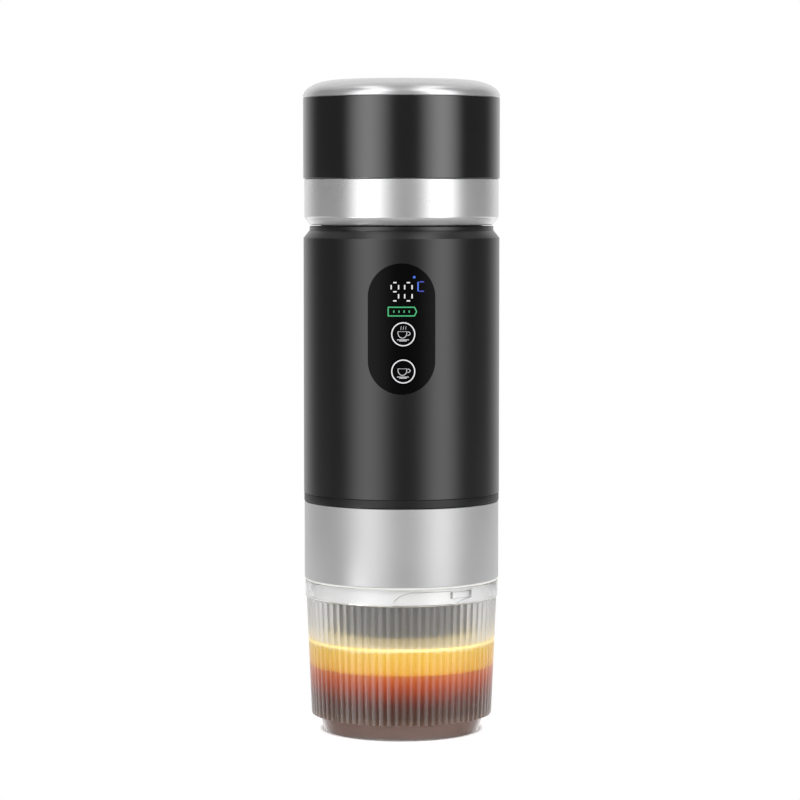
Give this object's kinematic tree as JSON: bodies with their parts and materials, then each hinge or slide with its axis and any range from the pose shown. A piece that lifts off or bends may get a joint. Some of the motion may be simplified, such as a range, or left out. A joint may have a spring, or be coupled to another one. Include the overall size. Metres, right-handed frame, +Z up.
{
  "type": "portable espresso maker",
  "caption": "Upright round portable electric espresso maker: domed screw cap, dark body with display window and buttons, metal brew chamber, clear reeded bayonet cup.",
  "frame": {"origin": "centre of the cup's foot, on the surface that the maker stands on", "axes": "+Z up along the round axis; -Y is the front with the display window"},
  "size_m": [0.0712, 0.0712, 0.236],
  "materials": {
    "silver_dome": "satin anodised",
    "silver_ring": "polished satin",
    "silver_sleeve": "satin anodised",
    "black_gloss": "gloss",
    "panel_gloss": "gloss",
    "black_satin": "satin painted",
    "black_matt": "matt",
    "dark_plastic": "matt",
    "grey_plastic": "satin",
    "white_plastic": "satin",
    "clear_plastic": "clear",
    "seal_rubber": "matt",
    "tube_silicone": "matt",
    "steel": "brushed",
    "brass": "satin",
    "heater_metal": "cast",
    "motor_can": "satin",
    "cell_wrap": "film",
    "board": "solder mask",
    "display": "matt"
  },
  "bodies": {
    "cup": {"cup": "clear_plastic"},
    "cup_seal": {"cup_seal": "seal_rubber"},
    "chamber": {"chamber_shell": "silver_sleeve", "chamber_core": "grey_plastic", "filter_basket": "steel", "bayonet_skirt": "white_plastic", "skirt_screws": "steel", "outlet_nozzle": "steel"},
    "brew_gasket": {"brew_gasket": "seal_rubber"},
    "body": {"body_shell": "black_satin", "top_collar": "black_matt", "base_ring": "black_matt", "brew_head": "dark_plastic", "head_screws": "steel", "shower_screen": "steel", "screen_screw": "steel", "panel_lens": "panel_gloss", "display_module": "display", "key_switches": "display", "control_board": "board", "board_screws": "steel", "water_tank": "steel", "tank_outlet": "steel", "heater_plate": "heater_metal", "heater_insulator": "tube_silicone", "temperature_probe": "steel", "thermal_cutoff": "display", "frame_plate": "dark_plastic", "inner_frame": "dark_plastic", "battery_left": "cell_wrap", "battery_right": "cell_wrap", "cell_contacts": "steel", "charge_board": "board", "charge_port": "steel", "motor": "motor_can", "gear_cover": "dark_plastic", "gear_case": "dark_plastic", "pump_head": "white_plastic", "inlet_tube": "tube_silicone", "outlet_tube": "tube_silicone"},
    "heat_button": {"heat_button": "panel_gloss"},
    "brew_button": {"brew_button": "panel_gloss"},
    "motor_drive": {"motor_shaft": "steel", "motor_pinion": "brass"},
    "pump_drive": {"pump_shaft": "steel", "pump_gear": "white_plastic"},
    "cap_gasket": {"cap_gasket": "seal_rubber"},
    "cap": {"cap_dome": "silver_dome", "cap_band": "black_gloss", "cap_ring": "silver_ring", "cap_liner": "dark_plastic"}
  },
  "joints": [
    {"name": "chamber_lift", "type": "slide", "parent": "cup", "child": "cup_seal", "axis": [0, 0, 1], "range_m": [0, 0.0201]},
    {"name": "chamber_turn", "type": "hinge", "parent": "cup_seal", "child": "chamber", "pos_m": [0, 0, 0.056], "axis": [0, 0, 1], "range_deg": [0, 150]},
    {"name": "body_lift", "type": "slide", "parent": "chamber", "child": "brew_gasket", "axis": [0, 0, 1], "range_m": [0, 0.0136]},
    {"name": "body_turn", "type": "hinge", "parent": "brew_gasket", "child": "body", "pos_m": [0, 0, 0.084], "axis": [0, 0, 1], "range_deg": [0, 540]},
    {"name": "cap_lift", "type": "slide", "parent": "body", "child": "cap_gasket", "axis": [0, 0, 1], "range_m": [0, 0.0241]},
    {"name": "cap_turn", "type": "hinge", "parent": "cap_gasket", "child": "cap", "pos_m": [0, 0, 0.1839], "axis": [0, 0, 1], "range_deg": [0, 1440]},
    {"name": "heat_press", "type": "slide", "parent": "body", "child": "heat_button", "axis": [0, 1, 0], "range_m": [0, 0.0005], "stiffness_N_per_m": 300},
    {"name": "brew_press", "type": "slide", "parent": "body", "child": "brew_button", "axis": [0, 1, 0], "range_m": [0, 0.0005], "stiffness_N_per_m": 300},
    {"name": "pump_spin", "type": "hinge", "parent": "body", "child": "pump_drive", "pos_m": [0, -0.0126, 0.1035], "axis": [0, 0, 1], "continuous": true},
    {"name": "motor_spin", "type": "hinge", "parent": "body", "child": "motor_drive", "pos_m": [0, 0, 0.1035], "axis": [0, 0, 1], "continuous": true}
  ],
  "couplings": [
    {"joint": "chamber_lift", "follows": "chamber_turn", "m_per_rad": 0.0076394},
    {"joint": "body_lift", "follows": "body_turn", "m_per_rad": 0.0014324},
    {"joint": "cap_lift", "follows": "cap_turn", "m_per_rad": 0.00095493},
    {"joint": "motor_spin", "follows": "pump_spin", "ratio": -2.5}
  ]
}
